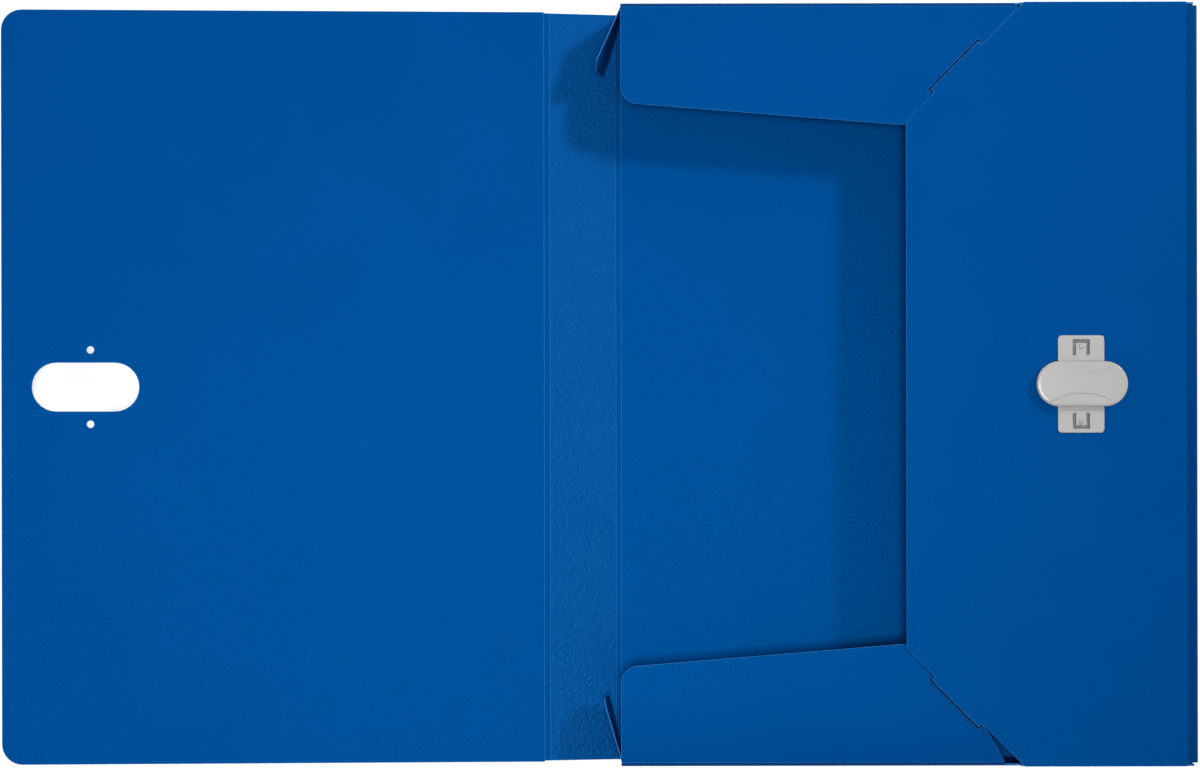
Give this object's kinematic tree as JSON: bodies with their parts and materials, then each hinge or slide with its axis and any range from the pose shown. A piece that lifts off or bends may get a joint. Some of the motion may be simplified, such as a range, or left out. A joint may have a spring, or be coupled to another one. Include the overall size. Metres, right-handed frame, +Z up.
{
  "type": "archival document box",
  "caption": "Shallow folding document box of creased plastic sheet, shown open: hinged cover and spine, mitred inner flaps and an oval turn-button clasp.",
  "frame": {"origin": "under the middle of the open box, on the surface it lies on", "axes": "+X from the cover to the fore edge, +Y towards the head, +Z up"},
  "size_m": [0.5194, 0.33, 0.0353],
  "materials": {
    "sheet_blue": "fine embossed matt grain, slight sheen",
    "clasp_grey": "smooth moulded, satin"
  },
  "bodies": {
    "tray_base": {"back_panel": "sheet_blue", "spine_base_crease": "sheet_blue", "fore_wall_crease": "sheet_blue", "head_wall_crease": "sheet_blue", "tail_wall_crease": "sheet_blue"},
    "spine": {"spine_panel": "sheet_blue", "cover_crease": "sheet_blue"},
    "cover": {"cover_panel": "sheet_blue"},
    "fore_wall": {"fore_edge_wall": "sheet_blue", "fore_flap_crease": "sheet_blue"},
    "fore_flap": {"fore_edge_flap": "sheet_blue", "clasp_plate": "clasp_grey", "clasp_rear_plate": "clasp_grey"},
    "head_side": {"head_wall": "sheet_blue", "head_flap_crease": "sheet_blue", "head_ear_crease": "sheet_blue"},
    "head_top": {"head_flap": "sheet_blue"},
    "head_ear": {"head_spine_ear": "sheet_blue"},
    "tail_side": {"tail_wall": "sheet_blue", "tail_flap_crease": "sheet_blue", "tail_ear_crease": "sheet_blue"},
    "tail_top": {"tail_flap": "sheet_blue"},
    "tail_ear": {"tail_spine_ear": "sheet_blue"},
    "turn_button": {"clasp_button": "clasp_grey"},
    "head_latch": {"head_latch_tongue": "clasp_grey"},
    "tail_latch": {"tail_latch_tongue": "clasp_grey"}
  },
  "joints": [
    {"name": "spine_fold", "type": "hinge", "parent": "tray_base", "child": "spine", "pos_m": [0.00983, 0, 0.0005], "axis": [0, 1, 0], "range_deg": [0, 80.3]},
    {"name": "cover_fold", "type": "hinge", "parent": "spine", "child": "cover", "pos_m": [-0.02172, 0, 0.00589], "axis": [0, 1, 0], "range_deg": [0, 97.3]},
    {"name": "fore_wall_fold", "type": "hinge", "parent": "tray_base", "child": "fore_wall", "pos_m": [0.25923, 0, 0.0005], "axis": [0, -1, 0], "range_deg": [-90, 0]},
    {"name": "head_wall_fold", "type": "hinge", "parent": "tray_base", "child": "head_side", "pos_m": [0.00983, 0.1645, 0.0005], "axis": [1, 0, 0], "range_deg": [-90, 0]},
    {"name": "tail_wall_fold", "type": "hinge", "parent": "tray_base", "child": "tail_side", "pos_m": [0.00983, -0.1645, 0.0005], "axis": [-1, 0, 0], "range_deg": [-90, 0]},
    {"name": "fore_flap_open", "type": "hinge", "parent": "fore_wall", "child": "fore_flap", "pos_m": [0.25923, 0, 0.0303], "axis": [0, -1, 0], "range_deg": [-90, 0]},
    {"name": "head_flap_open", "type": "hinge", "parent": "head_side", "child": "head_top", "pos_m": [0.00983, 0.1645, 0.0291], "axis": [1, 0, 0], "range_deg": [-90, 0]},
    {"name": "tail_flap_open", "type": "hinge", "parent": "tail_side", "child": "tail_top", "pos_m": [0.00983, -0.1645, 0.0291], "axis": [-1, 0, 0], "range_deg": [-90, 0]},
    {"name": "head_ear_fold", "type": "hinge", "parent": "head_side", "child": "head_ear", "pos_m": [0.01143, 0.1645, 0.0005], "axis": [0, 0, 1], "range_deg": [0, 25]},
    {"name": "tail_ear_fold", "type": "hinge", "parent": "tail_side", "child": "tail_ear", "pos_m": [0.01143, -0.1645, 0.0005], "axis": [0, 0, -1], "range_deg": [0, 17]},
    {"name": "clasp_turn", "type": "hinge", "parent": "fore_flap", "child": "turn_button", "pos_m": [0.20913, 0, 0.0333], "axis": [0, 0, 1], "range_deg": [0, 90]},
    {"name": "head_latch_flex", "type": "hinge", "parent": "fore_flap", "child": "head_latch", "pos_m": [0.20913, 0.0125, 0.03145], "axis": [-1, 0, 0], "range_deg": [0, 3], "stiffness_Nm_per_rad": 0.2},
    {"name": "tail_latch_flex", "type": "hinge", "parent": "fore_flap", "child": "tail_latch", "pos_m": [0.20913, -0.0125, 0.03145], "axis": [1, 0, 0], "range_deg": [0, 3], "stiffness_Nm_per_rad": 0.2}
  ],
  "couplings": [
    {"joint": "head_wall_fold", "follows": "fore_wall_fold", "ratio": 1},
    {"joint": "tail_wall_fold", "follows": "fore_wall_fold", "ratio": 1},
    {"joint": "head_flap_open", "follows": "fore_flap_open", "ratio": 1},
    {"joint": "tail_flap_open", "follows": "fore_flap_open", "ratio": 1},
    {"joint": "head_ear_fold", "follows": "spine_fold", "ratio": 0.31132},
    {"joint": "tail_ear_fold", "follows": "spine_fold", "ratio": 0.2117}
  ]
}
